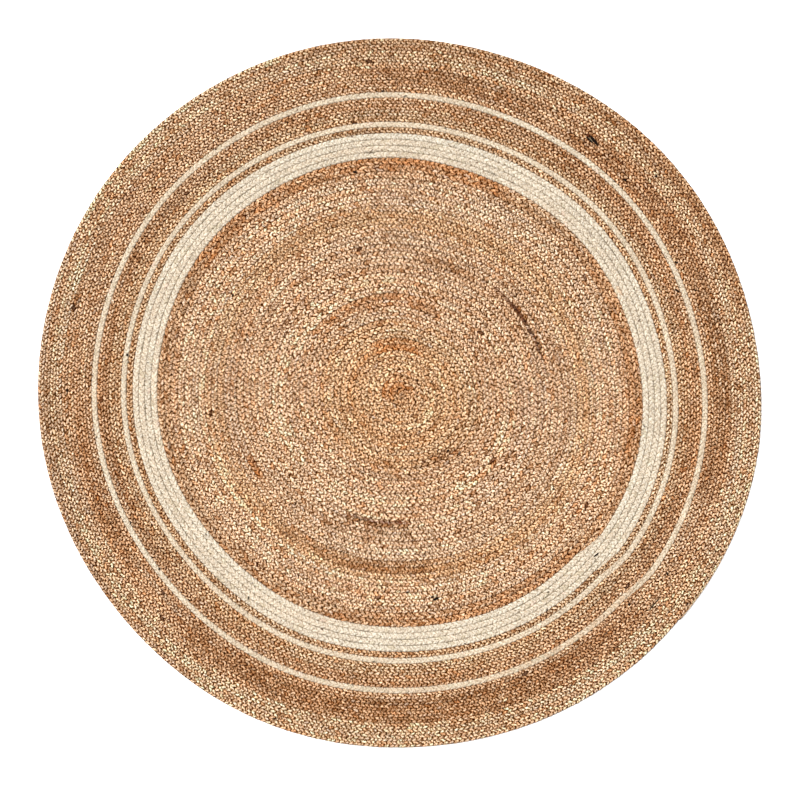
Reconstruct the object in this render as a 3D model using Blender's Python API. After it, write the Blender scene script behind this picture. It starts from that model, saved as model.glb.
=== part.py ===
"""A round rug of braided jute, 1.5 m across, lying flat.

A flat three-strand braid is coiled clockwise from the middle and sewn to itself, one row beside the next.
Where the colour changes, one length of braid ends and another goes on, so the rug is seven lengths: four of
natural jute and three of bleached, cream jute. Each length is one solid. Its top is one raised rib for each
row, its underside is flat, and it lies beside the next length with a hairline between them.

Metres, +Z up. The origin is on the floor under the middle of the rug.
"""

import math
from collections import namedtuple

import bmesh
import bpy
from mathutils import Vector

THICKNESS = 0.008  # floor to the top of a row
SEAM_HEIGHT = 0.0052  # floor to the bottom of the groove between two rows
GAP = 0.0003  # between one length of braid and the next
COLUMNS_PER_TURN = 56  # cross-sections of the braid in one turn
JOIN_ANGLE = math.radians(321.0)  # every length starts and ends here, counted anticlockwise from +X
TUCK_TURN = 0.085  # the stretch, in turns, over which the last row narrows
TUCKED_WIDTH = 0.0025  # width of the braid where it ends
SEW_DISTANCE = 1e-5  # points closer than this are one
SHARP_ANGLE = math.radians(60)  # edges that bend more than this stay crisp: the rug's rim

NATURAL = (0.46, 0.27, 0.13)
CREAM = (0.78, 0.68, 0.50)

# The lengths of braid, from the middle outwards. One length can change its row width as it goes.
Length = namedtuple("Length", "name colour turns_and_row_widths")
LENGTHS = (
    Length("inner_field", NATURAL, ((16, 0.0136), (8, 0.0146), (6, 0.0132), (6, 0.0143))),
    Length("wide_cream_band", CREAM, ((4, 0.01285),)),
    Length("single_natural_row", NATURAL, ((1, 0.0130),)),
    Length("inner_cream_row", CREAM, ((1, 0.0113),)),
    Length("natural_band", NATURAL, ((4, 0.0126),)),
    Length("outer_cream_row", CREAM, ((1, 0.0117),)),
    Length("outer_border", NATURAL, ((9, 0.0125),)),
)

# A hand-sewn coil isn't a true circle. Each wave swells the radius this many times in a turn.
Wave = namedtuple("Wave", "swells in_the_field at_the_edge peak_degrees")
WAVES = (
    Wave(1, 0.0039, 0.0038, -128),
    Wave(2, 0.0098, 0.0082, -23),
    Wave(3, 0.0007, 0.0004, -16),
    Wave(4, 0.0002, 0.0011, -35),
    Wave(5, 0.0011, 0.0013, -34),
    Wave(7, 0.0013, 0.0007, -11),
)
FIELD_RADIUS = 0.500  # of the inner field, where the waves are as in_the_field says
FULL_WAVE_RADIUS = 0.210  # the waves grow from nothing at the middle to their full size here
START_SHIFT = Vector((0.004, -0.0044))  # the coil starts this far from the middle of the outline
BOX_MIDDLE = Vector((0.0, 0.0008))  # where the waves put the middle of the outline's box, moved back to 0, 0


def row_widths():
    """The width of each row, from the middle outwards."""
    widths = []
    for length in LENGTHS:
        for turns, width in length.turns_and_row_widths:
            widths += [width] * turns
    return widths


ROW_WIDTHS = row_widths()
TURNS = len(ROW_WIDTHS)
RUG_RADIUS = sum(ROW_WIDTHS)


def reach(rows):
    """The mean radius of a coil of this many rows, which need not be whole."""
    rows = max(rows, 0.0)
    whole = min(int(rows), TURNS - 1)
    return sum(ROW_WIDTHS[:whole]) + (rows - whole) * ROW_WIDTHS[whole]


def wave_swell(radius, angle):
    """How far the waves move a point of this mean radius outwards."""
    outward = min(max((radius - FIELD_RADIUS) / (RUG_RADIUS - FIELD_RADIUS), 0.0), 1.0)
    growth = min(radius / FULL_WAVE_RADIUS, 1.0)
    swell = 0.0
    for wave in WAVES:
        size = wave.in_the_field + (wave.at_the_edge - wave.in_the_field) * outward
        swell += size * math.cos(wave.swells * (angle - math.radians(wave.peak_degrees)))
    return swell * growth


def on_the_coil(turn, rows):
    """The point at this turn of the braid, counted along it, and this many rows from the middle."""
    angle = JOIN_ANGLE - 2 * math.pi * turn
    radius = reach(rows)
    shift = START_SHIFT * max(1.0 - radius / FIELD_RADIUS, 0.0)
    radius += wave_swell(radius, angle)
    return Vector((math.cos(angle), math.sin(angle))) * radius + shift - BOX_MIDDLE


def braid_edges(turn):
    """How many rows from the middle the braid's inner and outer edges lie at this turn."""
    inner = turn - 0.5 if turn >= 1.0 else 0.0
    outer = turn + 0.5
    tuck = max((turn - (TURNS - TUCK_TURN)) / TUCK_TURN, 0.0)
    outer -= tuck * (1.0 - TUCKED_WIDTH / ROW_WIDTHS[-1])
    return inner, outer


def wind(ribbon, start, turns):
    """Winds a flat ribbon into the coil. Its x, 0 to 1, runs along the braid, and its y, 0 to 1, across."""
    for point in ribbon.verts:
        turn = start + round(point.co.x * turns * COLUMNS_PER_TURN) / COLUMNS_PER_TURN
        inner, outer = braid_edges(turn)
        place = on_the_coil(turn, inner + (outer - inner) * point.co.y)
        rise = 1.0 - abs(2.0 * point.co.y - 1.0)  # 0 at both edges of the row and 1 at its middle
        point.co = (place.x, place.y, SEAM_HEIGHT + (THICKNESS - SEAM_HEIGHT) * rise)


def draw_in_the_rim(bm, distance):
    """Moves each point of the open rim inwards, square to the rim, to leave room beside it."""
    rim = [edge for edge in bm.edges if edge.is_boundary]
    inward = {}
    for edge in rim:
        first, second = edge.verts
        along = (second.co - first.co).to_2d()
        normal = Vector((-along.y, along.x)).normalized()
        middle = (first.co + second.co).to_2d() / 2
        if (edge.link_faces[0].calc_center_median().to_2d() - middle).dot(normal) < 0:
            normal = -normal
        for point in edge.verts:
            inward.setdefault(point, []).append(normal)
    for point, (first, second) in inward.items():
        both = first + second
        step = both * (2 * distance / both.length_squared)  # a mitre, as far from either edge
        point.co.x += step.x
        point.co.y += step.y


def close_below(bm):
    """Drops walls from the rim to the floor and closes the flat underside."""
    rim = [edge for edge in bm.edges if edge.is_boundary]
    walls = bmesh.ops.extrude_edge_only(bm, edges=rim)["geom"]
    foot = [part for part in walls if isinstance(part, bmesh.types.BMEdge) and part.is_boundary]
    for point in {point for edge in foot for point in edge.verts}:
        point.co.z = 0.0
    bmesh.ops.triangle_fill(bm, edges=foot, use_beauty=True, normal=(0, 0, -1))


def jute(name, colour):
    """A dry, matt fibre material."""
    material = bpy.data.materials.new(name)
    material.use_nodes = True
    shader = material.node_tree.nodes["Principled BSDF"]
    shader.inputs["Base Color"].default_value = (*colour, 1.0)
    shader.inputs["Roughness"].default_value = 0.85
    shader.inputs["Metallic"].default_value = 0.0
    return material


def braid_length(length, start, collection):
    """Builds one length of braid, coiled from the turn where the one before it ends."""
    turns = sum(count for count, _ in length.turns_and_row_widths)
    bm = bmesh.new()
    bmesh.ops.create_grid(bm, x_segments=turns * COLUMNS_PER_TURN, y_segments=2, size=0.5)
    bmesh.ops.translate(bm, verts=bm.verts, vec=(0.5, 0.5, 0.0))
    wind(bm, start, turns)
    if turns > 1:
        bmesh.ops.remove_doubles(bm, verts=bm.verts, dist=SEW_DISTANCE)
    if start == 0:
        bmesh.ops.holes_fill(bm, edges=bm.edges, sides=3)
    draw_in_the_rim(bm, GAP / 2)
    close_below(bm)
    bmesh.ops.recalc_face_normals(bm, faces=bm.faces)
    mesh = bpy.data.meshes.new(length.name)
    bm.to_mesh(mesh)
    bm.free()
    mesh.shade_smooth()
    mesh.set_sharp_from_angle(angle=SHARP_ANGLE)
    mesh.materials.append(jute(length.name, length.colour))
    rug_piece = bpy.data.objects.new(length.name, mesh)
    collection.objects.link(rug_piece)
    return turns


def build():
    for old in list(bpy.data.objects):
        bpy.data.objects.remove(old, do_unlink=True)
    collection = bpy.data.collections.new("round_jute_rug")
    bpy.context.scene.collection.children.link(collection)
    start = 0
    for length in LENGTHS:
        start += braid_length(length, start, collection)


build()
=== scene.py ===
# %% [markdown]
# # A round rug of braided jute
# The real rug is one flat three-strand braid after another, coiled clockwise from the middle and sewn edge to
# edge. This lesson dresses the plain solids of the rug, lobe by lobe: every place where a strand comes up
# over its neighbours is modelled, so that the light finds real hollows, and the colour of each lobe comes
# from the strand that it belongs to. First the frame is loaded: the solids say where everything has to be.

import math
from collections import namedtuple

import bpy
import numpy as np
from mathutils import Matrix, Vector


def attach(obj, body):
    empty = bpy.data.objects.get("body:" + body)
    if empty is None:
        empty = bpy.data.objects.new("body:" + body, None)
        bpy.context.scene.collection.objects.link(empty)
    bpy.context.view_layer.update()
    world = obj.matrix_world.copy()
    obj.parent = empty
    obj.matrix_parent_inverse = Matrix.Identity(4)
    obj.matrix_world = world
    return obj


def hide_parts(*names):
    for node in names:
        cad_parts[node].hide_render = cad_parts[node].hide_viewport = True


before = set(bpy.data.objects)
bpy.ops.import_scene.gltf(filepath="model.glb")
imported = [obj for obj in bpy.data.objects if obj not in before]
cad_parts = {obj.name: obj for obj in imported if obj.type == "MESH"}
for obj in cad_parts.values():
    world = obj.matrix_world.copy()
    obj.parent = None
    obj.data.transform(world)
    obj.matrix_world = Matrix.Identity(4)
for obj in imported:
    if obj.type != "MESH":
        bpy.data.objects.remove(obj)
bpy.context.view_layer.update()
print("solids:", ", ".join(sorted(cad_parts)))

# %% [markdown]
# ## The coil
# A braid-maker thinks in rows, counted from the middle. The rows aren't all as wide, and the hand-sewn coil
# isn't a true circle. One table gives the widths of the rows and another the slow waves that bend the circle.
# Every later step asks these tables where a place on the braid is: turn 20.25 is a quarter of a turn past the
# end of the twentieth row. A formula is chosen over a drawn spiral because one formula can place twenty
# thousand lobes.

# %% Rows
RowGroup = namedtuple("RowGroup", "rows width")
ROW_GROUPS = (
    RowGroup(16, 0.0136), RowGroup(8, 0.0146), RowGroup(6, 0.0132), RowGroup(6, 0.0143),  # inner field
    RowGroup(4, 0.01285),  # wide cream band
    RowGroup(1, 0.0130),  # single natural row
    RowGroup(1, 0.0113),  # inner cream row
    RowGroup(4, 0.0126),  # natural band
    RowGroup(1, 0.0117),  # outer cream row
    RowGroup(9, 0.0125),  # outer border
)
ROW_WIDTHS = np.repeat([group.width for group in ROW_GROUPS], [group.rows for group in ROW_GROUPS])
TURNS = len(ROW_WIDTHS)
RADII = np.concatenate([[0.0], np.cumsum(ROW_WIDTHS), [ROW_WIDTHS.sum() + ROW_WIDTHS[-1]]])
RUG_RADIUS = RADII[TURNS]
print(TURNS, "rows, mean radius", round(RUG_RADIUS, 3), "m")

# %% Waves, and a place on the coil
Wave = namedtuple("Wave", "swells in_the_field at_the_edge peak_degrees")
WAVES = (
    Wave(1, 0.0039, 0.0038, -128),
    Wave(2, 0.0098, 0.0082, -23),
    Wave(3, 0.0007, 0.0004, -16),
    Wave(4, 0.0002, 0.0011, -35),
    Wave(5, 0.0011, 0.0013, -34),
    Wave(7, 0.0013, 0.0007, -11),
)
JOIN_ANGLE = math.radians(321.0)  # turn 0 starts here, counted anticlockwise from +X
FIELD_RADIUS = 0.500  # of the inner field, where the waves are as in_the_field says
FULL_WAVE_RADIUS = 0.210  # the waves grow from nothing at the middle to their full size here
START_SHIFT = (0.004, -0.0044)  # the coil starts this far from the middle of the outline
BOX_MIDDLE = (0.0, 0.0008)  # where the waves put the middle of the outline's box, moved back to 0, 0


def reach(rows):
    """The mean radius of a coil of this many rows."""
    return np.interp(rows, np.arange(len(RADII)), RADII)


def on_the_coil(turn, rows):
    """x and y of the places at these turns along the braid and this many rows from the middle."""
    angle = JOIN_ANGLE - 2 * math.pi * turn
    radius = reach(rows)
    outward = np.clip((radius - FIELD_RADIUS) / (RUG_RADIUS - FIELD_RADIUS), 0.0, 1.0)
    growth = np.minimum(radius / FULL_WAVE_RADIUS, 1.0)
    swell = 0.0
    for wave in WAVES:
        size = wave.in_the_field + (wave.at_the_edge - wave.in_the_field) * outward
        swell = swell + size * np.cos(wave.swells * (angle - math.radians(wave.peak_degrees)))
    shift = np.maximum(1.0 - radius / FIELD_RADIUS, 0.0)
    radius = radius + swell * growth
    x = np.cos(angle) * radius + START_SHIFT[0] * shift - BOX_MIDDLE[0]
    y = np.sin(angle) * radius + START_SHIFT[1] * shift - BOX_MIDDLE[1]
    return x, y


print("turn 20.25 lies at x and y of", *np.round(on_the_coil(20.25, 20.25), 3), "m")

# %% [markdown]
# ## The lengths of braid
# The maker changed yarn six times, and plaited some stretches tighter than others. Each row of this table is
# one stretch: which solid it dresses, its colour and look, the turns it runs over, and the length of one
# stitch at its start and its end. The big natural solids are dressed with several stretches, so that no mesh
# gets too heavy.

# %% Table of braids
Braid = namedtuple("Braid", "name node colour look first last stitch_at_first stitch_at_last")
BRAIDS = (
    Braid("field_heart_braid", "inner_field", "natural", "plump", 0, 16, 0.0112, 0.0114),
    Braid("field_inner_braid", "inner_field", "natural", "plump", 16, 24, 0.0120, 0.0106),
    Braid("field_middle_braid", "inner_field", "natural", "plump", 24, 30, 0.0103, 0.0095),
    Braid("field_outer_braid", "inner_field", "natural", "plump", 30, 34, 0.0097, 0.0105),
    Braid("field_rim_braid", "inner_field", "natural", "plump", 34, 36, 0.0128, 0.0138),
    Braid("wide_cream_braid", "wide_cream_band", "cream", "smooth", 36, 40, 0.0108, 0.0108),
    Braid("single_natural_braid", "single_natural_row", "natural", "beady", 40, 41, 0.0107, 0.0107),
    Braid("inner_cream_braid", "inner_cream_row", "cream", "smooth", 41, 42, 0.0110, 0.0110),
    Braid("natural_band_braid", "natural_band", "natural", "beady", 42, 46, 0.0109, 0.0109),
    Braid("outer_cream_braid", "outer_cream_row", "cream", "smooth", 46, 47, 0.0110, 0.0110),
    Braid("border_inner_braid", "outer_border", "natural", "beady", 47, 51, 0.0106, 0.0106),
    Braid("border_outer_braid", "outer_border", "natural", "beady", 51, 56, 0.0106, 0.0106),
)
print(len(BRAIDS), "stretches of braid over", BRAIDS[-1].last, "turns")

# %% [markdown]
# ## Where one stretch gives way to the next
# Where the colour changes, the end of the old braid is sewn down beside the start of the new one, so one
# narrows away while the other widens. Two stretches of one colour are a single braid in the real rug. Here
# they run into each other for a few millimetres, which hides the ends better than a butt joint does. The
# coil itself starts half a turn early, from nothing, and curls round the middle, so no hole is left there.

# %% Edges and ends
COLOUR_CHANGES = (36, 40, 41, 42, 46, 47)  # the turns at which the yarn changes
SPLICE = 0.010  # turns to either side of a change over which the old braid narrows and the new one widens
SLIVER = 0.10  # share of a row's width left where a spliced braid ends
TUCK_TURN = 0.085  # turns over which the very end of the braid narrows, tucked against the row before
TUCKED_WIDTH = 0.0025  # width of the braid where it ends
EARLY_START = 0.5  # turns by which the coil starts early
OVERLAP = 0.008  # metres by which a stretch runs on into a neighbour of the same colour


def braid_edges(braid, turn):
    """How many rows from the middle the braid's inner and outer edges lie, and its share of full width."""
    inner = np.maximum(turn - 0.5, 0.0)
    outer = turn + 0.5
    tuck = np.clip((turn - (TURNS - TUCK_TURN)) / TUCK_TURN, 0.0, 1.0)
    outer = outer - tuck * (1.0 - TUCKED_WIDTH / ROW_WIDTHS[-1])
    share = np.ones_like(turn)
    if braid.first in COLOUR_CHANGES:
        grown = SLIVER + (1.0 - SLIVER) * np.clip((turn - braid.first + SPLICE) / (2 * SPLICE), 0.0, 1.0)
        inner = outer - (outer - inner) * grown
        share = share * grown
    if braid.last in COLOUR_CHANGES:
        left = SLIVER + (1.0 - SLIVER) * np.clip((braid.last + SPLICE - turn) / (2 * SPLICE), 0.0, 1.0)
        outer = inner + (outer - inner) * left
        share = share * left
    return inner, outer, share


def run_on(turn):
    """How many turns before or past its place in the table a stretch of braid starts or ends."""
    if turn == 0:
        return EARLY_START
    if turn in COLOUR_CHANGES:
        return SPLICE
    return OVERLAP / (2 * math.pi * reach(turn)) if turn < TURNS else 0.0


print("the end at turn 24 is hidden under", round(360 * run_on(24), 2), "degrees of braid")

# %% Stitches along a stretch
RULER_MARKS = 400  # of the ruler, to a turn
RULER_SPARE = 0.2  # turns of ruler before the start and after the end, because the lobes lean past both
TIGHTEST_TURN = 0.35  # nearer to the middle, the stitches are counted as if they lay here


def stitch_places(braid):
    """Where the stitches of a braid fall: the turns of a fine ruler, and the stitches counted along it."""
    first, last = braid.first - run_on(braid.first), braid.last + run_on(braid.last)
    marks = int((last - first + 2 * RULER_SPARE) * RULER_MARKS)
    ruler = np.linspace(first - RULER_SPARE, last + RULER_SPARE, marks)
    share = np.clip((ruler - braid.first) / (braid.last - braid.first), 0.0, 1.0)
    stitch = braid.stitch_at_first + (braid.stitch_at_last - braid.stitch_at_first) * share
    per_turn = 2 * math.pi * reach(np.maximum(ruler, TIGHTEST_TURN)) / stitch
    step = ruler[1] - ruler[0]
    counted = np.concatenate([[0.0], np.cumsum((per_turn[1:] + per_turn[:-1]) / 2 * step)])
    counted -= np.interp(first, ruler, counted)
    return ruler, counted, int(round(np.interp(last, ruler, counted)))


print("stitches in all:", sum(stitch_places(braid)[2] for braid in BRAIDS))

# %% [markdown]
# ## The colour of the yarn
# Jute isn't dyed evenly: it isn't dyed at all. Batches of yarn run from pale tan over pinkish grey to rust,
# and a bundle of brown plants shows as an arc. A short table gives the tone of each group of rows and a
# second one the arcs that stand out on this rug. A painted picture could do the same, but tables keep every
# tone tied to the braid, whatever the size of the rug. Tones are written 0 to 255, as a screen shows them.

# %% Batches of yarn
Batch = namedtuple("Batch", "last_row tone")
HONEY = (235, 201, 165)
WARM_TAN = (237, 207, 178)
PALE_TAN = (247, 217, 188)
RUSSET = (224, 183, 144)
FIELD_RUST = (220, 188, 157)
BROWN = (239, 207, 177)
PINK_TAN = (233, 206, 176)
DRIFTWOOD = (252, 228, 200)
CREAM = (207, 194, 175)
WARM_CREAM = (207, 191, 169)
BATCHES = (
    Batch(2, RUSSET), Batch(12, HONEY), Batch(16, WARM_TAN), Batch(20, PALE_TAN), Batch(26, WARM_TAN),
    Batch(29, HONEY), Batch(33, PALE_TAN), Batch(34, WARM_TAN), Batch(36, FIELD_RUST), Batch(40, CREAM),
    Batch(41, PINK_TAN), Batch(42, WARM_CREAM), Batch(44, PINK_TAN), Batch(46, BROWN), Batch(47, WARM_CREAM),
    Batch(52, BROWN), Batch(54, DRIFTWOOD), Batch(55, WARM_TAN), Batch(57, DRIFTWOOD),
)
print(len(BATCHES), "batches of yarn from the middle to the edge")

# %% Arcs that stand out
DARK_BARK = (70, 38, 22)
RUST = (208, 141, 88)
UMBER = (178, 132, 93)
ASH = (221, 198, 180)
DULL_CREAM = (189, 176, 152)
FADE_DEGREES = 4.0  # over which an arc fades at its ends
FADE_ROWS = 0.25  # and at its sides

# Column -1 tints the inner lobes of the plait alone, 1 the outer ones alone, and 0 both.
Arc = namedtuple("Arc", "first_row last_row from_degrees to_degrees tone strength column")
ARCS = (
    Arc(21.3, 22.3, 14, 47, DARK_BARK, 0.50, 1),
    Arc(22.3, 23.3, 14, 40, UMBER, 0.60, -1),
    Arc(19.7, 20.7, 246, 272, DARK_BARK, 0.40, -1),
    Arc(19.7, 20.7, 243, 275, UMBER, 0.80, 1),
    Arc(21.4, 22.4, 55, 82, UMBER, 0.5, 0),
    Arc(10.8, 12.1, 293, 324, UMBER, 0.6, 0),
    Arc(14.4, 15.8, 62, 146, RUST, 0.5, 0),
    Arc(7.2, 8.8, 60, 120, RUST, 0.5, 0),
    Arc(25.6, 27.4, 226, 282, UMBER, 0.5, 0),
    Arc(23.8, 24.8, 200, 213, UMBER, 0.6, 0),
    Arc(33.8, 36.0, 60, 150, RUST, 0.35, 0),
    Arc(33.8, 36.0, 340, 400, RUST, 0.25, 0),
    Arc(33.8, 36.0, 250, 320, RUST, 0.25, 0),
    Arc(36.2, 37.2, 23, 26, RUST, 0.9, 0),
    Arc(45.8, 46.8, 261, 266, DULL_CREAM, 0.8, 0),
    Arc(0.6, 2.8, 20, 200, RUST, 0.5, 0),
    Arc(23.8, 24.8, 200, 213, RUST, 0.5, 0),
    Arc(47.8, 51.4, 340, 420, UMBER, 0.45, 0),
    Arc(47.8, 51.4, 225, 320, UMBER, 0.45, 0),
    Arc(47.8, 50.4, 180, 215, UMBER, 0.35, 0),
    Arc(48.5, 51.4, 60, 98, UMBER, 0.35, 0),
    Arc(51.8, 53.3, 100, 200, ASH, 0.3, 0),
    Arc(51.8, 53.3, 330, 390, ASH, 0.25, 0),
    Arc(54.5, 57.0, 150, 235, ASH, 0.5, 0),
    Arc(54.5, 57.0, 10, 110, UMBER, 0.3, 0),
    Arc(24.0, 29.0, 165, 208, ASH, 0.22, 0),
    Arc(28.5, 31.5, 80, 98, ASH, 0.3, 0),
    Arc(17.0, 21.0, 300, 370, ASH, 0.25, 0),
    Arc(43.7, 46.3, 0, 360, UMBER, 0.2, 0),
)


def in_arc(arc, turn):
    """How much of an arc's tone shows at these lobes: all inside it, fading at its ends and sides."""
    degrees = np.degrees(JOIN_ANGLE) - 360.0 * turn
    half = (arc.to_degrees - arc.from_degrees) / 2
    off = (degrees - arc.from_degrees - half + 180.0) % 360.0 - 180.0
    along = np.clip((half - np.abs(off)) / FADE_DEGREES, 0.0, 1.0)
    across = np.clip(np.minimum(turn - arc.first_row, arc.last_row - turn) / FADE_ROWS, 0.0, 1.0)
    column = np.where(np.arange(len(turn)) % 2 == 1, -1, 1)
    return along * across * arc.strength * (column != -arc.column)


print(len(ARCS), "arcs of another tone")

# %% [markdown]
# ## The tone of every lobe
# Three strands run through the braid, each with its own slow drift of tone, so neighbouring lobes differ as
# they do in a real plait. A few odd lobes come from a darker or greyer bundle. The drifts are random walks
# drawn from one seeded source, so the rug looks the same each time the lesson runs.

# %% Drifts and odd lobes
STRAND_LEAD = (-0.35, 0.0, 0.4)  # in turns: the three strands don't change batch at the same place
PATCHINESS = (0.3, 1.7)  # how much less or more of an arc's tone a single lobe takes
WARMER = np.array((2.0, -3.0, -6.5))  # what one step of warmth adds to a tone
LIGHTER = np.array((10.0, 10.5, 10.5))  # what one step of light adds
UNEVENNESS = {"natural": 0.9, "cream": 0.35}
STRAND_DRIFT, WARMTH_DRIFT = 40, 30  # lobes between two knots of a drift: in one strand, in the whole braid
SLOW_LIGHT, QUICK_LIGHT = 60, 12  # and of the two drifts of light
ODD_LIGHT = 2.2  # steps of light by which one lobe may differ from the next
DARKEST, PALEST = 12.0, 252.0  # no yarn is quite black or quite white
STRAW = (238, 204, 170)

OddLobe = namedtuple("OddLobe", "share tone strength")
ODD_LOBES = {
    "natural": (
        OddLobe(0.04, RUST, 0.40), OddLobe(0.06, UMBER, 0.6), OddLobe(0.03, ASH, 0.6),
        OddLobe(0.04, STRAW, 0.6), OddLobe(0.001, DARK_BARK, 0.7),
    ),
    "cream": (OddLobe(0.05, DULL_CREAM, 0.7), OddLobe(0.006, ASH, 0.7)),
}
random = np.random.default_rng(56)


def linear(tone):
    """A tone, 0 to 255 as a screen shows it, as linear colour."""
    tone = np.asarray(tone, float) / 255.0
    return np.where(tone <= 0.04045, tone / 12.92, ((tone + 0.055) / 1.055) ** 2.4)


def drift(count, spacing):
    """A slow random wander, one value for each lobe, with a new direction every so many lobes."""
    knots = random.normal(size=int(count / spacing) + 3)
    return np.interp(np.arange(count) / spacing, np.arange(len(knots)), knots)


print("odd lobes in natural yarn:", f"{sum(odd.share for odd in ODD_LOBES['natural']):.0%}")


# %% Tones of the lobes
def lobe_tones(braid, turn):
    """The tone of every lobe of a braid, as linear colour, from the turns that the lobes lie at."""
    count = len(turn)
    strand = np.arange(count) % 3
    batch_turn = np.clip(turn + np.array(STRAND_LEAD)[strand], braid.first, braid.last - 0.001)
    tones = np.array([batch.tone for batch in BATCHES], float)
    batch_of = np.searchsorted([batch.last_row for batch in BATCHES], batch_turn, side="right")
    tone = tones[batch_of]
    for arc in ARCS:
        share = np.minimum(in_arc(arc, turn) * random.uniform(*PATCHINESS, count), 1.0)
        tone = tone + (np.array(arc.tone) - tone) * share[:, None]
    draw = random.random(count)
    for odd in ODD_LOBES[braid.colour]:
        chosen = (draw >= 0.0) & (draw < odd.share)
        tone = np.where(chosen[:, None], tone + (np.array(odd.tone) - tone) * odd.strength, tone)
        draw = draw - odd.share
    by_strand = np.stack([drift(count, STRAND_DRIFT) for _ in range(3)])
    warmth = 0.7 * by_strand[strand, np.arange(count)] + 0.8 * drift(count, WARMTH_DRIFT)
    warmth = 0.8 * UNEVENNESS[braid.colour] * (warmth + 0.3 * random.normal(size=count))
    light = 0.6 * drift(count, SLOW_LIGHT) + 0.5 * drift(count, QUICK_LIGHT)
    light = UNEVENNESS[braid.colour] * (light + random.uniform(-ODD_LIGHT, ODD_LIGHT, count))
    return linear(np.clip(tone + warmth[:, None] * WARMER + light[:, None] * LIGHTER, DARKEST, PALEST))


# %% [markdown]
# ## One stitch of the plait
# Seen from above, a three-strand plait shows two columns of slanting lobes that lock into each other like the
# teeth of a zip, half a stitch apart. Seen from below it is the same with the slant the other way. Three
# strands could be swept one by one. Here the cross-section of the braid is a ring of nine points instead,
# carried along the braid with four stations to a stitch: one in the valley between two lobes and three on
# the lobe. This makes one closed skin with real valleys, at a fraction of the faces.

# %% Ring and stations
THICKNESS = 0.008  # floor to the top of a row
STATIONS = 4  # to a stitch
STATION_PLACES = np.array((0.0, 0.16, 0.5, 0.84))  # in stitches, from the valley
STATION_RISE = np.array((0.0, 0.90, 1.0, 0.90))  # from 0 in the valley to 1 on the lobe
SLANT = 0.55  # how far, in stitches, a lobe leans along the braid from edge to middle
SQUEEZE = 0.015  # how far the rows press into each other, in row widths
SCALLOP = 0.025  # how much further the lobes bulge than the valleys between them, in row widths
TEETH = 0.070  # how far a lobe's tip pokes over the middle line, in row widths
TEETH_SIDES = np.array((-1.0, 0.0, 1.0, 0.0))  # which way the middle line goes at each station of a stitch
MIDDLE_SHARPNESS = 8  # how narrow the lobes' tips are on the middle line

# Heights are shares of the thickness: in the valley and on the lobe's crest.
RingPoint = namedtuple("RingPoint", "part across column valley crest map_share")
RING = (
    RingPoint("underside", 0.30, -1, 0.22, 0.00, 0.07),
    RingPoint("edge", 0.00, -1, 0.40, 0.64, 0.11),
    RingPoint("shoulder", 0.12, -1, 0.57, 0.92, 0.15),
    RingPoint("crown", 0.33, -1, 0.63, 1.00, 0.12),
    RingPoint("middle", 0.50, 0, 0.63, 0.90, 0.12),
    RingPoint("crown", 0.67, 1, 0.63, 1.00, 0.15),
    RingPoint("shoulder", 0.88, 1, 0.57, 0.92, 0.11),
    RingPoint("edge", 1.00, 1, 0.40, 0.64, 0.07),
    RingPoint("underside", 0.70, 1, 0.22, 0.00, 0.10),
)
print(len(RING), "points round the braid and", STATIONS, "stations to a stitch")


# %% Places of the stations
def station_places(count, column):
    """For each station along a column of lobes: its place in stitches, how far it rises, and its lobe."""
    station = np.arange(count)
    if column < 0:
        lobe, phase = station // STATIONS, station % STATIONS
        return lobe + STATION_PLACES[phase], STATION_RISE[phase], 2 * lobe + 1
    if column > 0:
        lobe, phase = (station + STATIONS // 2) // STATIONS, (station + STATIONS // 2) % STATIONS
        return lobe - 0.5 + STATION_PLACES[phase], STATION_RISE[phase], 2 * lobe
    inner = station_places(count, -1)
    outer = station_places(count, 1)
    return (inner[0] + outer[0]) / 2, np.maximum(inner[1], outer[1]) ** MIDDLE_SHARPNESS, inner[2]


# %% [markdown]
# ## Three looks of braid
# The field is plaited loosely, with broad lobes and thin gaps. The border is tight, like rows of beads. The
# bleached braid is smooth. Painted shade and highlight are kept as a number on each point of the skin,
# from its value in the valley to its value on the lobe. The material paints shade into the yarn by it in the
# gaps between strands, because light alone leaves gaps as narrow as these too pale, and paints a highlight
# on the lobes' crowns.

# %% Looks
# Painted shade and highlight: how light each part of the ring is painted in its valley and on its lobe.
Shine = namedtuple("Shine", "in_valley on_lobe")
SHINES = {"underside": Shine(0.10, 0.80), "shoulder": Shine(-0.25, 0.92), "crown": Shine(-0.15, 1.00)}
# Valley_fill raises the valleys, and edge and middle hold the painted shade and highlight of a row's edges
# and of its middle line. Gap narrows the painted dark gaps, and wander and jitter make stitches uneven.
Look = namedtuple("Look", "valley_fill edge middle gap wander jitter")
LOOKS = {
    "plump": Look(0.0, Shine(-0.20, 0.44), Shine(-0.05, 0.72), 1.0, 0.35, 0.14),
    "beady": Look(0.0, Shine(-0.25, 0.47), Shine(-0.25, 0.58), 2.2, 0.30, 0.10),
    "smooth": Look(0.30, Shine(0.45, 0.64), Shine(0.20, 0.72), 1.0, 0.40, 0.14),
}
WIDE_WANDER = 4  # stitches between two knots of the slow unevenness
LOBE_LIFT = 0.00022  # metres by which lobes differ in height
LOBE_SIDE = 0.016  # and, in row widths, sideways
EDGE_SHADE_DRIFT = 0.07  # how much more painted shade the row edges take in places, drifting along the braid
EDGE_SHADE_STITCHES = 45  # between two knots of that drift of painted edge shade
THINNEST = 0.45  # share of its thickness left in a spliced braid that has narrowed to nothing
PLAIT_WIDTH = 0.013  # metres across an average row, for the map of the fibres
print("looks of braid:", ", ".join(LOOKS))


# %% Points of the skin
def uneven(place, slow, quick):
    """Shifts places along a braid, in stitches, so that no two stitches are quite as long."""
    shift = np.interp(place / WIDE_WANDER + 2, np.arange(len(slow)), slow)
    return place + shift + np.interp(place + 2, np.arange(len(quick)), quick)


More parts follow.
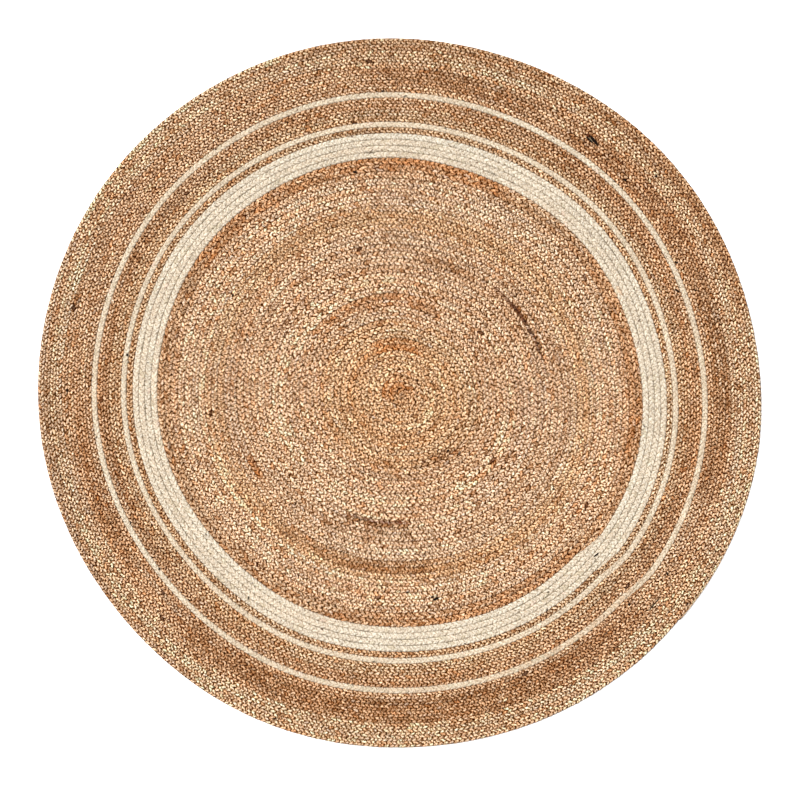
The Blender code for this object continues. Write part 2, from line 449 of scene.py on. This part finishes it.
def braid_points(braid, ruler, counted, stitches):
    """Points of a braid's skin, station by station round the ring, with their painted shade and highlight."""
    look = LOOKS[braid.look]
    shines = {**SHINES, "edge": look.edge, "middle": look.middle}
    count = STATIONS * stitches + 1
    slow = random.normal(0.0, look.wander, stitches // WIDE_WANDER + 5)
    quick = random.normal(0.0, look.jitter, stitches + 5)
    lobe_lift = random.normal(0.0, LOBE_LIFT, 2 * stitches + 4)
    lobe_side = random.normal(0.0, LOBE_SIDE, 2 * stitches + 4)
    edge_shade = EDGE_SHADE_DRIFT * drift(count, EDGE_SHADE_STITCHES * STATIONS)
    points = np.empty((count, len(RING), 3))
    shine = np.empty((count, len(RING)))
    along_across = np.empty((count, len(RING), 2))
    for number, point in enumerate(RING):
        below = point.part == "underside"
        place, rise, lobe = station_places(count, point.column)
        lean = SLANT * (1.0 - abs(2.0 * point.across - 1.0))
        place = place + (lean if below else -lean)
        turn = np.interp(uneven(place, slow, quick), counted, ruler)
        rise = look.valley_fill + (1.0 - look.valley_fill) * rise
        across = np.full(count, point.across)
        if point.part == "middle":
            across = across + TEETH * TEETH_SIDES[np.arange(count) % STATIONS]
        elif point.part == "edge":
            across = across + point.column * (SQUEEZE + SCALLOP * rise)
        across = across + lobe_side[lobe] * rise
        inner, outer, share = braid_edges(braid, turn)
        x, y = on_the_coil(turn, inner + (outer - inner) * across)
        height = point.valley + (point.crest - point.valley) * rise
        height = 0.5 + (height - 0.5) * (THINNEST + (1.0 - THINNEST) * share)
        points[:, number, 0] = x
        points[:, number, 1] = y
        points[:, number, 2] = THICKNESS * height + lobe_lift[lobe] * rise * (not below)
        # Painted shade and highlight: from the valley's value to the lobe's, and the edges take extra painted
        # shade.
        in_valley, on_lobe = shines[point.part]
        if point.part == "edge":
            on_lobe = on_lobe - edge_shade
        shine[:, number] = in_valley + (on_lobe - in_valley) * rise**look.gap
        along_across[:, number, 0] = place * braid.stitch_at_first
        along_across[:, number, 1] = across * PLAIT_WIDTH
    return points, shine, along_across


# %% [markdown]
# ## Two maps of the skin
# A mesh can carry several maps that lay it out flat. The first, for baking, lays the braid out in straight
# strips that fill a square. The second runs along and across each strand, in metres, so that the fibres of
# the material follow the plait. Unwrapping by hand would take days: both come from the count of stations.

# %% Maps
MAP_PLACES = np.concatenate([[0.0], np.cumsum([point.map_share for point in RING])])
STRIP_MARGIN = 0.02  # left free to either side of a strip
STRIP_HEIGHT = 0.0173  # metres that the height of a strip stands for: it sets how many fill a square
FIBRE_TWIST = math.radians(14.0)  # the fibres turn round their strand
LOBE_PLACES = (11, 7)  # lobes get places of their own in the noise: so many along and so many across
LOBE_STEPS = (0.37, 0.23)  # metres between these places
print("shares of a strip, face by face:", *(f"{point.map_share:.2f}" for point in RING))


def corner_pairs(count):
    """For each face between stations and ring points: its station, its ring point, and its corners' own."""
    station, number = np.meshgrid(np.arange(count - 1), np.arange(len(RING)), indexing="ij")
    station, number = station.ravel(), number.ravel()
    return station, number, station[:, None] + (0, 1, 1, 0), number[:, None] + (0, 0, 1, 1)


def bake_map(count, length, corner_station, station, corner_number):
    """Lays the skin out in straight strips, one above the other, that fill a square."""
    strips = max(round(math.sqrt(length / STRIP_HEIGHT)), 1)
    per_strip = math.ceil((count - 1) / strips)
    strip = (station // per_strip)[:, None]
    across = (strip + STRIP_MARGIN + (1.0 - 2 * STRIP_MARGIN) * MAP_PLACES[corner_number]) / strips
    return np.stack([(corner_station - strip * per_strip) / per_strip, across], axis=-1)


def fibre_map(along_across, corner_station, corner_number, number, lobe, stitch):
    """Lays each lobe out along and across its own strand, in metres, each at another place."""
    flat = along_across[corner_station, corner_number % len(RING)]
    side = np.array([1.0 if (p.column > 0) != (p.part == "underside") else -1.0 for p in RING])[number]
    slope = math.atan2(0.5 * PLAIT_WIDTH, SLANT * stitch)
    turn = side * slope + FIBRE_TWIST
    cosine, sine = np.cos(turn)[:, None], np.sin(turn)[:, None]
    along = flat[..., 0] * cosine + flat[..., 1] * sine
    across = flat[..., 1] * cosine - flat[..., 0] * sine
    own_along, own_across = [step * (lobe % places) for step, places in zip(LOBE_STEPS, LOBE_PLACES)]
    return np.stack([along + own_along[:, None], across + own_across[:, None]], axis=-1)


# %% [markdown]
# ## Skinning a braid
# Neighbouring stations are joined by four-sided faces all the way round the ring, and a cap closes each end,
# so the skin is watertight. Every lobe gets one tone, kept on its faces, because one lobe is one strand.

# %% Skin
FACE_COLUMNS = np.array([-1, -1, -1, -1, 1, 1, 1, 1, -1])  # of the faces from each ring point to the next


def skin(braid, material):
    """Makes the mesh object of one stretch of braid."""
    ruler, counted, stitches = stitch_places(braid)
    points, shine, along_across = braid_points(braid, ruler, counted, stitches)
    count = len(points)
    station, number, corner_station, corner_number = corner_pairs(count)
    quads = corner_station * len(RING) + corner_number % len(RING)
    first_cap = list(range(len(RING)))[::-1]
    last_cap = [(count - 1) * len(RING) + n for n in range(len(RING))]
    mesh = bpy.data.meshes.new(braid.name)
    mesh.from_pydata(points.reshape(-1, 3), [], quads.tolist() + [first_cap, last_cap])

    column = FACE_COLUMNS[number]
    lobe = np.where(column < 0, 2 * (station // STATIONS) + 1, 2 * ((station + STATIONS // 2) // STATIONS))
    tones = lobe_tones(braid, np.interp(np.arange(2 * stitches + 4) / 2, counted, ruler))
    colour = np.ones((len(quads) + 2, 4))
    colour[:-2, :3] = tones[lobe]
    colour[-2:, :3] = tones[0]
    mesh.attributes.new("tone", "FLOAT_COLOR", "FACE").data.foreach_set("color", colour.ravel())
    # The rise attribute holds each point's painted shade and highlight, which the material turns into colour.
    mesh.attributes.new("rise", "FLOAT", "POINT").data.foreach_set("value", shine.ravel())

    length = stitches * braid.stitch_at_first
    caps = np.full((2 * len(RING), 2), 0.5)
    fibres = fibre_map(along_across, corner_station, corner_number, number, lobe, braid.stitch_at_first)
    strips = bake_map(count, length, corner_station, station, corner_number)
    for name, places in (("fibres", fibres), ("OFBake", strips)):
        layer = mesh.uv_layers.new(name=name)
        layer.uv.foreach_set("vector", np.concatenate([places.reshape(-1, 2), caps]).ravel())
    mesh.materials.append(material)
    mesh.shade_smooth()
    piece = bpy.data.objects.new(braid.name, mesh)
    bpy.context.scene.collection.objects.link(piece)
    print(braid.name, stitches, "stitches,", 2 * len(quads), "triangles,", round(length, 2), "m of braid")
    return piece


print("each stitch takes", 2 * STATIONS * len(RING), "triangles")

# %% [markdown]
# ## Jute fibre
# Dry jute is matt, coarse and hairy. The material takes the tone of each lobe, paints shade into it
# where the skin dips into a valley and a highlight on the lobe's crown, streaks it along the strand with
# stretched noise, lays small dark specks and rare flecks of bark over it, and lifts the streaks as a fine
# bump. Noise is chosen over photographs of fibre: it never repeats, and it follows the strands at any size.
# A few small helpers make the nodes easier to read.

# %% Helpers for nodes
def node(tree, kind, **values):
    """Adds a node of this kind with these settings."""
    made = tree.nodes.new(kind)
    for key, value in values.items():
        setattr(made, key, value)
    return made


def feed(tree, socket, value):
    """Links an output to a socket, or sets the socket to a plain value."""
    if isinstance(value, bpy.types.NodeSocket):
        tree.links.new(value, socket)
    else:
        socket.default_value = value


def math_node(tree, operation, first, second):
    """A sum, a difference or a product, kept between 0 and 1."""
    made = node(tree, "ShaderNodeMath", operation=operation, use_clamp=True)
    feed(tree, made.inputs[0], first)
    feed(tree, made.inputs[1], second)
    return made.outputs[0]


def mix_colour(tree, blend, factor, first, second):
    """The first colour with the second laid over it."""
    made = node(tree, "ShaderNodeMix", data_type="RGBA", blend_type=blend)
    feed(tree, made.inputs[0], factor)
    feed(tree, made.inputs[6], first)
    feed(tree, made.inputs[7], second)
    return made.outputs[2]


# %% Ramps and bumps
def ramp(tree, value, stops):
    """Turns a value into a shade. A stop is a place and a red, green and blue, or one grey."""
    made = node(tree, "ShaderNodeValToRGB")
    elements = made.color_ramp.elements
    elements[0].position, elements[1].position = stops[0][0], stops[-1][0]
    for stop in stops[1:-1]:
        elements.new(stop[0])
    for element, stop in zip(elements, stops):
        element.color = (*stop[1:], 1.0) if len(stop) == 4 else (stop[1], stop[1], stop[1], 1.0)
    tree.links.new(value, made.inputs[0])
    return made.outputs[0]


def bump(tree, height, strength, distance):
    """Lifts the surface by a height, without faces."""
    made = node(tree, "ShaderNodeBump")
    made.inputs["Strength"].default_value = strength
    made.inputs["Distance"].default_value = distance
    tree.links.new(height, made.inputs["Height"])
    return made


# %% Noise that follows the fibres
Noise = namedtuple("Noise", "along across detail")  # the size of its cells in metres, and its finer layers
HAIRS = Noise(0.009, 0.00045, 2.0)
PLIES = Noise(0.030, 0.0017, 1.0)
FLECKS = Noise(0.006, 0.0012, 0.0)
TUFTS = Noise(0.0036, 0.0018, 0.0)
SPECKS = Noise(0.0034, 0.0019, 0.0)


def stretched_noise(tree, fibres, noise):
    """Noise whose cells are stretched along the strand."""
    scale = node(tree, "ShaderNodeVectorMath", operation="MULTIPLY")
    tree.links.new(fibres, scale.inputs[0])
    scale.inputs[1].default_value = (1.0 / noise.along, 1.0 / noise.across, 0.0)
    made = node(tree, "ShaderNodeTexNoise", noise_dimensions="2D")
    made.inputs["Scale"].default_value = 1.0
    made.inputs["Detail"].default_value = noise.detail
    tree.links.new(scale.outputs[0], made.inputs["Vector"])
    return made.outputs["Fac"]


print("a hair of the noise is", round(HAIRS.along / HAIRS.across), "times as long as it is wide")

# %% Two finishes of yarn
# The shades turn the painted shade and highlight into colour: dark in the gaps, paler yarn on the crowns.
Finish = namedtuple("Finish", "name shades specks streak fleck_start fleck_tone")
NATURAL = Finish(
    name="natural_jute_fibre",
    shades=(
        (0.14, 0.04, 0.006, 0.001),
        (0.40, 0.40, 0.20, 0.06),
        (0.68, 0.84, 0.74, 0.60),
        (1.0, 1.0, 1.0, 1.0),
    ),
    specks=((0.32, 0.14, 0.06, 0.02), (0.44, 0.64, 0.52, 0.40), (0.56, 1.0, 1.0, 1.0)),
    streak=0.85,
    fleck_start=0.74,
    fleck_tone=(0.06, 0.03, 0.01, 1.0),
)
BLEACHED = Finish(
    name="bleached_jute_fibre",
    shades=(
        (0.08, 0.32, 0.24, 0.15),
        (0.34, 0.62, 0.55, 0.45),
        (0.66, 0.93, 0.91, 0.88),
        (1.0, 1.0, 1.0, 1.0),
    ),
    specks=((0.26, 0.34, 0.30, 0.25), (0.35, 0.86, 0.85, 0.83), (0.43, 1.0, 1.0, 1.0)),
    streak=0.55,
    fleck_start=0.68,
    fleck_tone=(0.30, 0.25, 0.19, 1.0),
)
RAGGED_GAPS = 0.25  # how far the hairs fray the edges of the painted shade in the gaps
RAGGED_SPECKS = 0.8  # and of the specks
HAIR_SHADES = ((0.30, 0.45), (0.50, 0.95), (0.62, 1.0))
TUFT_SHADES = ((0.32, 0.45), (0.47, 0.90), (0.60, 1.0))
HAIR_ROUGHNESS = ((0.3, 0.95), (0.7, 0.72))
FLECK_FADE = 0.05  # how softly a fleck begins
FLECK_STRENGTH = 0.75  # how much of the yarn it hides
print("finishes:", NATURAL.name, "and", BLEACHED.name)


# %% Jute material
def jute_material(finish):
    """A fibre material: it reads the tone, the painted shade and highlight in rise, and the fibres' map."""
    material = bpy.data.materials.new(finish.name)
    material.use_nodes = True
    tree = material.node_tree
    shader = tree.nodes["Principled BSDF"]
    shader.inputs["Metallic"].default_value = 0.0
    shader.inputs["Specular IOR Level"].default_value = 0.0
    tone = node(tree, "ShaderNodeAttribute", attribute_name="tone").outputs["Color"]
    rise = node(tree, "ShaderNodeAttribute", attribute_name="rise").outputs["Fac"]
    fibres = node(tree, "ShaderNodeUVMap", uv_map="fibres").outputs[0]
    hairs, plies, flecks, tufts, specks = [
        stretched_noise(tree, fibres, noise) for noise in (HAIRS, PLIES, FLECKS, TUFTS, SPECKS)
    ]
    specks = math_node(tree, "ADD", specks, math_node(tree, "MULTIPLY", hairs, RAGGED_SPECKS))
    specks = math_node(tree, "SUBTRACT", specks, RAGGED_SPECKS / 2)
    fray = math_node(tree, "MULTIPLY", math_node(tree, "SUBTRACT", hairs, 0.5), RAGGED_GAPS)
    # Painted shade in the gaps and painted highlight on the crowns, read from the rise attribute.
    shade = ramp(tree, math_node(tree, "ADD", rise, fray), finish.shades)
    colour = mix_colour(tree, "MULTIPLY", 1.0, tone, shade)
    colour = mix_colour(tree, "MULTIPLY", finish.streak, colour, ramp(tree, hairs, HAIR_SHADES))
    colour = mix_colour(tree, "MULTIPLY", finish.streak, colour, ramp(tree, tufts, TUFT_SHADES))
    colour = mix_colour(tree, "MULTIPLY", 1.0, colour, ramp(tree, specks, finish.specks))
    fleck_stops = ((finish.fleck_start, 0.0), (finish.fleck_start + FLECK_FADE, FLECK_STRENGTH))
    colour = mix_colour(tree, "MIX", ramp(tree, flecks, fleck_stops), colour, finish.fleck_tone)
    tree.links.new(colour, shader.inputs["Base Color"])
    tree.links.new(ramp(tree, hairs, HAIR_ROUGHNESS), shader.inputs["Roughness"])
    fine = bump(tree, hairs, strength=0.55, distance=0.0003)
    coarse = bump(tree, plies, strength=0.6, distance=0.0008)
    tree.links.new(fine.outputs[0], coarse.inputs["Normal"])
    tree.links.new(coarse.outputs[0], shader.inputs["Normal"])
    print(finish.name, "has", len(tree.nodes), "nodes")
    return material


MATERIALS = {"natural": jute_material(NATURAL), "cream": jute_material(BLEACHED)}

# %% [markdown]
# ## Coil the rug
# Each stretch is skinned and hung on the rug's body, and the solid that it dresses is hidden.


for braid in BRAIDS:
    piece = skin(braid, MATERIALS[braid.colour])
    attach(piece, "root")
    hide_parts(braid.node)

# %% [markdown]
# ## Marks of bark
# A few plants' worth of bark always stays in jute yarn, as black and brown slivers. The ones that stand out
# on this rug are listed one by one, by turn, place across the row, length, width and direction. Where a whole
# strip of bark was plaited in, many thin slivers lie one behind the other, and one line of a second table
# stands for them all.

# %% Tables of marks and streaks
BLACK_BARK = (22, 12, 6)
BROWN_BARK = (88, 46, 24)
RED_BARK = (122, 66, 38)
# The grey is also used for the painted shade in the cream band's grooves.
GREY_WOOD_AND_GROOVE_SHADE = (140, 126, 102)

# Across counts in rows from the middle of the braid, and aside in degrees from the braid's own direction.
Mark = namedtuple("Mark", "turn across length width aside tone")
MARKS = (
    Mark(34.610, -0.20, 0.010, 0.0040, -15, BLACK_BARK),  # two bits at the top of the inner field
    Mark(34.625, 0.05, 0.014, 0.0030, 8, BROWN_BARK),
    Mark(50.742, -0.40, 0.010, 0.0062, -30, BROWN_BARK),  # the long wedge near the top right of the border
    Mark(49.746, 0.50, 0.032, 0.0056, -16, BLACK_BARK),
    Mark(49.744, 0.13, 0.024, 0.0036, -9, BLACK_BARK),
    Mark(49.7445, 0.32, 0.014, 0.0020, -12, GREY_WOOD_AND_GROOVE_SHADE),  # and the pale wood inside it
    Mark(41.414, -0.20, 0.007, 0.0045, 20, BLACK_BARK),  # the eye in the inner cream row
    Mark(37.411, 0.25, 0.003, 0.0024, 0, BLACK_BARK),
    Mark(51.393, -0.40, 0.009, 0.0040, 35, BLACK_BARK),
    Mark(47.633, -0.35, 0.007, 0.0040, 0, BLACK_BARK),
    Mark(45.835, -0.10, 0.010, 0.0035, 30, BLACK_BARK),  # the curl and the oval right of the cream rows
    Mark(45.836, 0.15, 0.007, 0.0025, -40, BLACK_BARK),
    Mark(47.8213, -0.20, 0.009, 0.0045, 45, BLACK_BARK),
    Mark(11.03, -0.15, 0.007, 0.0045, 20, BLACK_BARK),  # the knot at the end of the brown arc
    Mark(38.001, -0.10, 0.016, 0.0034, -10, BLACK_BARK),  # the sliver in the wide cream band
    Mark(32.114, -0.30, 0.016, 0.0050, 17, BLACK_BARK),  # the twisted bit at the bottom of the inner field
    Mark(32.1165, -0.62, 0.009, 0.0034, 20, BLACK_BARK),
    Mark(48.771, -0.20, 0.010, 0.0045, 10, BLACK_BARK),
    Mark(52.78, 0.00, 0.009, 0.0030, 40, BLACK_BARK),
    Mark(48.01, -0.40, 0.006, 0.0046, 0, BLACK_BARK),
    Mark(48.986, 0.30, 0.009, 0.0036, 50, BLACK_BARK),
    Mark(51.001, -0.35, 0.046, 0.0026, 0, BLACK_BARK),  # the long dark line at the bottom right
)

Streak = namedtuple("Streak", "first_turn last_turn across width slivers tone")
STREAKS = (
    Streak(21.755, 21.812, 0.36, 0.0011, 24, RED_BARK),
    Streak(21.770, 21.806, 0.36, 0.0009, 8, BLACK_BARK),
    Streak(21.816, 21.868, 0.38, 0.0011, 15, RED_BARK),
    Streak(22.818, 22.840, -0.50, 0.0012, 8, BLACK_BARK),
    Streak(20.130, 20.215, -0.20, 0.0012, 34, RED_BARK),
    Streak(20.150, 20.200, 0.00, 0.0010, 18, BLACK_BARK),
    Streak(11.030, 11.090, -0.15, 0.0012, 10, BROWN_BARK),
)
print(len(MARKS), "marks and", len(STREAKS), "streaks")

# %% [markdown]
# ## One shape for bark, thread and fibre
# A sliver of bark, a stitch of thread and a stray fibre are all long, thin and pointed, so one shape does for
# all: a spindle with a point at each end, two rings of three corners between them, and nine faces. It is
# placed by turn, row and direction like everything else on the coil. Thousands of them share one mesh,
# because thousands of objects would slow Blender down.

# %% Spindles
Spindle = namedtuple("Spindle", "turn across height length width aside tone")
SPINDLE_CORNERS = 8  # the points are corners 0 and 7, and each ring has a left, a top and a right corner
SPINDLE_FACES = (
    (0, 2, 1), (0, 3, 2), (0, 1, 3),
    (1, 2, 5, 4), (2, 3, 6, 5), (3, 1, 4, 6),
    (7, 4, 5), (7, 5, 6), (7, 6, 4),
)
RING_PLACE = 0.45  # of the rings, from the middle to the points
SPINDLE_RISE = 0.8  # height of a ring against half its width
AHEAD = 0.002  # turns: a place a little ahead tells the direction of the braid
print("each spindle has", SPINDLE_CORNERS, "corners and", len(SPINDLE_FACES), "faces")


def spindles(name, places, material):
    """Makes one mesh of many spindles and has it ride on the rug."""
    turn, across, height, length, width, aside = np.array([place[:6] for place in places], float).T
    x, y = on_the_coil(turn, turn + across)
    ahead_x, ahead_y = on_the_coil(turn + AHEAD, turn + AHEAD + across)
    heading = np.arctan2(ahead_y - y, ahead_x - x) + np.radians(aside)
    forward = np.stack([np.cos(heading), np.sin(heading), 0 * heading], axis=1)
    sideways = np.stack([-forward[:, 1], forward[:, 0], 0 * heading], axis=1)
    middle = np.stack([x, y, height], axis=1)
    half = length[:, None] / 2
    thick = width[:, None] / 2
    up = np.array((0.0, 0.0, 1.0))
    corners = [middle - forward * half]
    for ring in (middle - forward * half * RING_PLACE, middle + forward * half * RING_PLACE):
        corners += [ring + sideways * thick, ring + SPINDLE_RISE * thick * up, ring - sideways * thick]
    corners.append(middle + forward * half)
    starts = range(0, SPINDLE_CORNERS * len(places), SPINDLE_CORNERS)
    faces = [[start + corner for corner in face] for start in starts for face in SPINDLE_FACES]
    mesh = bpy.data.meshes.new(name)
    mesh.from_pydata(np.stack(corners, axis=1).reshape(-1, 3), [], faces)
    colour = np.ones((len(faces), 4))
    colour[:, :3] = np.repeat(linear([place.tone for place in places]), len(SPINDLE_FACES), axis=0)
    mesh.attributes.new("tone", "FLOAT_COLOR", "FACE").data.foreach_set("color", colour.ravel())
    mesh.materials.append(material)
    mesh.shade_smooth()
    piece = bpy.data.objects.new(name, mesh)
    bpy.context.scene.collection.objects.link(piece)
    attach(piece, "root")
    print(name, len(places), "spindles")


# %% Thread and bark
def thread_material():
    """Twisted thread, bark and painted groove shade: the tone of each spindle, mottled by a fine noise."""
    material = bpy.data.materials.new("thread_bark_and_groove_shade")
    material.use_nodes = True
    tree = material.node_tree
    shader = tree.nodes["Principled BSDF"]
    shader.inputs["Roughness"].default_value = 0.85
    shader.inputs["Specular IOR Level"].default_value = 0.08
    tone = node(tree, "ShaderNodeAttribute", attribute_name="tone").outputs["Color"]
    noise = node(tree, "ShaderNodeTexNoise")
    noise.inputs["Scale"].default_value = 900.0
    where = node(tree, "ShaderNodeTexCoord")
    tree.links.new(where.outputs["Object"], noise.inputs["Vector"])
    mottled = mix_colour(tree, "MULTIPLY", 0.5, tone, noise.outputs["Fac"])
    tree.links.new(mottled, shader.inputs["Base Color"])
    return material


small_material = thread_material()
print("material:", small_material.name)

# %% [markdown]
# ## Scatter the bark
# The marks and streaks come first. Hundreds of smaller slivers are then scattered evenly over the rug: the
# square root in the draw keeps them from crowding in the middle, where a turn is short.

# %% Bark
TOP = THICKNESS + 0.0001  # just above the lobes
STREAK_SPREAD = 0.17  # in rows: how far a streak's slivers lie from its line
STREAK_LENGTHS = (0.006, 0.013)
STREAK_ASIDE = 22  # degrees by which they turn away from it
SCATTERED_SLIVERS = 620
BLACK_SHARE = 0.4  # of the scattered slivers
SHORTEST, LONGER = 0.003, 0.006  # a scattered sliver's least length, and how much longer it may be
SLIVER_SHAPES = (0.16, 0.34)  # width against length
SLIVER_ASIDE = (10, 60)
ROW_TOP = (-0.42, 0.42)  # the part of a row's width that slivers lie on


def somewhere():
    """A turn drawn so that every patch of the rug is as likely as any other of its size."""
    return TURNS * math.sqrt(random.uniform(0.0005, 0.995))


bark = [Spindle(*mark[:2], TOP, *mark[2:]) for mark in MARKS]
for streak in STREAKS:
    for turn in random.uniform(streak.first_turn, streak.last_turn, streak.slivers):
        across = streak.across + random.normal(0, STREAK_SPREAD)
        length = random.uniform(*STREAK_LENGTHS)
        aside = random.normal(0, STREAK_ASIDE)
        bark.append(Spindle(turn, across, TOP, length, streak.width, aside, streak.tone))
for _ in range(SCATTERED_SLIVERS):
    turn = somewhere()
    length = SHORTEST + LONGER * random.random() ** 2
    tone = BLACK_BARK if random.random() < BLACK_SHARE else BROWN_BARK
    aside = random.choice((-1, 1)) * random.uniform(*SLIVER_ASIDE)
    across = random.uniform(*ROW_TOP)
    width = length * random.uniform(*SLIVER_SHAPES)
    bark.append(Spindle(turn, across, TOP, length, width, aside, tone))
spindles("bark_slivers", bark, small_material)

# %% [markdown]
# ## Sewing thread
# The rows are sewn together from below, and the thread shows as short slanting stitches in the grooves
# between them. Long grey threads laid in the grooves of the cream band are painted shade: the thin dark line
# where its rows press close.

# %% Stitches of thread
PALE_THREAD = (196, 184, 160)
TAN_THREAD = (190, 150, 110)
THREAD_WIDTH = 0.0010
STITCH_SPACING = 0.030
SPACING_RANGE = (0.7, 1.3)  # of the spacing, because a hand doesn't sew like a machine
STITCH_LENGTHS = (0.0055, 0.0080)
STITCH_ASIDE = (20, 50)
SEWN_TURNS = (1.2, TURNS - 0.1)
GROOVE = -0.5  # the place of a groove, in rows from the middle of the braid outside it
GROOVE_HEIGHT = 0.0054
CREAM_TURNS = [(braid.first, braid.last) for braid in BRAIDS if braid.colour == "cream"]

stitches = []
turn = SEWN_TURNS[0]
while turn < SEWN_TURNS[1]:
    in_cream = any(first < turn < last for first, last in CREAM_TURNS)
    tone = PALE_THREAD if in_cream else TAN_THREAD
    length = random.uniform(*STITCH_LENGTHS)
    aside = random.uniform(*STITCH_ASIDE)
    stitches.append(Spindle(turn, GROOVE, GROOVE_HEIGHT, length, THREAD_WIDTH, aside, tone))
    turn += STITCH_SPACING * random.uniform(*SPACING_RANGE) / (2 * math.pi * float(reach(turn)))

# %% Painted shade in the grooves of the wide cream band
GROOVE_SHADE_RUNS = 45
GROOVE_SHADE_TURNS = (37.0, 40.0)
GROOVE_SHADE_LENGTHS = (0.015, 0.060)
GROOVE_SHADE_WIDTH = 0.0011
GROOVE_SHADE_HEIGHT = 0.0064

# Painted shade: grey threads along the grooves stand in for their thin dark line of shade.
for _ in range(GROOVE_SHADE_RUNS):
    turn = random.uniform(*GROOVE_SHADE_TURNS)
    across = GROOVE + random.normal(0, 0.02)
    length = random.uniform(*GROOVE_SHADE_LENGTHS)
    aside = random.normal(0, 2)
    stitches.append(Spindle(turn, across, GROOVE_SHADE_HEIGHT, length, GROOVE_SHADE_WIDTH, aside, GREY_WOOD_AND_GROOVE_SHADE))
spindles("sewing_thread_and_groove_shade", stitches, small_material)

# %% [markdown]
# ## Stray fibres
# Jute sheds: loose hairs lie over the braid in every direction. They are as thin as the camera can just see,
# and they give the rug its dry, rough edge of light in a low view.

# %% Fibres
STRAY_FIBRES = 1300
STRAW_SHARE = 0.7  # of them, and the others are umber
FIBRE_LENGTHS = (0.006, 0.018)
FIBRE_WIDTH = 0.0003
FIBRE_ASIDE = (-70, 70)

fibres = []
for _ in range(STRAY_FIBRES):
    turn = somewhere()
    tone = STRAW if random.random() < STRAW_SHARE else UMBER
    across = random.uniform(-0.5, 0.5)
    length = random.uniform(*FIBRE_LENGTHS)
    aside = random.uniform(*FIBRE_ASIDE)
    fibres.append(Spindle(turn, across, TOP, length, FIBRE_WIDTH, aside, tone))
spindles("stray_fibres", fibres, small_material)

# %% [markdown]
# ## Floor and light
# The rug lies on a plain white floor. A white sky gives the even light of a product studio, and one broad
# lamp from the upper left adds a little direction, without which the lobes would look flat.

# %% Floor and light
FLOOR_REACH = 12.0  # metres from the rug to the floor's edge

floor_corners = [(FLOOR_REACH * x, FLOOR_REACH * y, 0) for x, y in ((-1, -1), (1, -1), (1, 1), (-1, 1))]
floor_mesh = bpy.data.meshes.new("floor")
floor_mesh.from_pydata(floor_corners, [], [(0, 1, 2, 3)])
floor = bpy.data.objects.new("floor", floor_mesh)
bpy.context.scene.collection.objects.link(floor)
floor_white = bpy.data.materials.new("floor_white")
floor_white.use_nodes = True
floor_shader = floor_white.node_tree.nodes["Principled BSDF"]
floor_shader.inputs["Base Color"].default_value = (0.96, 0.96, 0.96, 1.0)
floor_shader.inputs["Roughness"].default_value = 0.9
floor_mesh.materials.append(floor_white)

sky = bpy.data.worlds.new("white_sky")
sky.use_nodes = True
sky.node_tree.nodes["Background"].inputs["Color"].default_value = (1.0, 1.0, 1.0, 1.0)
sky.node_tree.nodes["Background"].inputs["Strength"].default_value = 1.0
bpy.context.scene.world = sky

lamp = bpy.data.lights.new("broad_lamp", "SUN")
lamp.energy = 4.6
lamp.angle = math.radians(30)
lamp_object = bpy.data.objects.new("broad_lamp", lamp)
lamp_object.rotation_euler = Vector((-0.55, 0.42, 1.0)).to_track_quat("Z", "Y").to_euler()
bpy.context.scene.collection.objects.link(lamp_object)
print("lamp of strength", lamp.energy, "over a white sky")

# %% [markdown]
# ## Camera
# The picture is taken from straight above. A long lens stands far off, so the rug's rim is seen as squarely
# as its middle. Its height follows from how much of the rug one pixel of the picture covers.

# %% Camera
PIXEL = 0.0020913  # metres of rug to one pixel of the picture
PICTURE_WIDTH = 800
LENS = 100.0
SENSOR = 36.0
CAMERA_SHIFT = (0.001, 0.001)  # the middle of the picture lies this far from the middle of the rug

camera = bpy.data.cameras.new("camera")
camera.lens = LENS
camera.sensor_width = SENSOR
camera_object = bpy.data.objects.new("camera", camera)
camera_height = PIXEL * PICTURE_WIDTH * LENS / SENSOR + THICKNESS
camera_object.location = (*CAMERA_SHIFT, camera_height)
bpy.context.scene.collection.objects.link(camera_object)
bpy.context.scene.camera = camera_object
bpy.context.scene.view_settings.view_transform = "Standard"
print("camera", round(camera_height, 2), "m above the floor")
